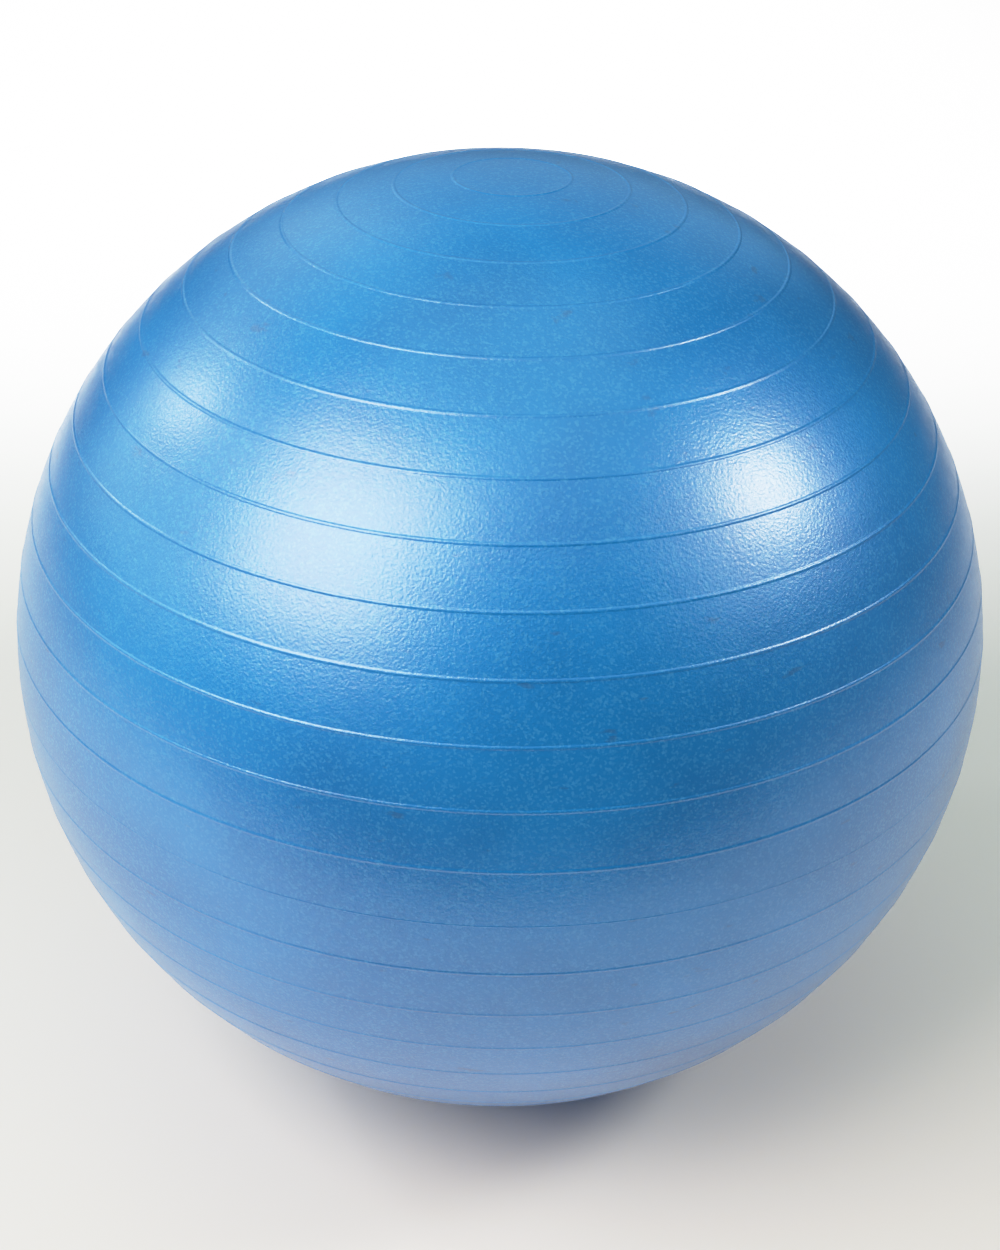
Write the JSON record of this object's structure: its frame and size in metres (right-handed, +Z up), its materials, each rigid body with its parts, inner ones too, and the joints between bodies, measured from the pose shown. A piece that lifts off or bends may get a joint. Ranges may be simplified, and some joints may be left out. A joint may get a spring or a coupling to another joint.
{
  "type": "exercise ball",
  "caption": "Large inflated exercise ball with fine raised ribs all round, slightly flattened poles, and a push-in plug in a valve seat at its base.",
  "frame": {"origin": "on the floor, at the centre of the flat that the ball rests on, on the axis through its poles", "axes": "+Z up along the ball's axis, from the valve at the lower pole to the upper pole; +X and +Y are level, with the plug's two pry notches on the X axis"},
  "size_m": [0.6504, 0.6504, 0.6387],
  "materials": {
    "shell_vinyl": "satin",
    "seat_vinyl": "satin",
    "plug_plastic": "satin"
  },
  "bodies": {
    "ball": {"shell": "shell_vinyl", "valve_seat": "seat_vinyl"},
    "plug": {"plug": "plug_plastic"}
  },
  "joints": [
    {"name": "plug_pull", "type": "slide", "parent": "ball", "child": "plug", "axis": [0, 0, -1], "range_m": [0, 0.025]}
  ]
}
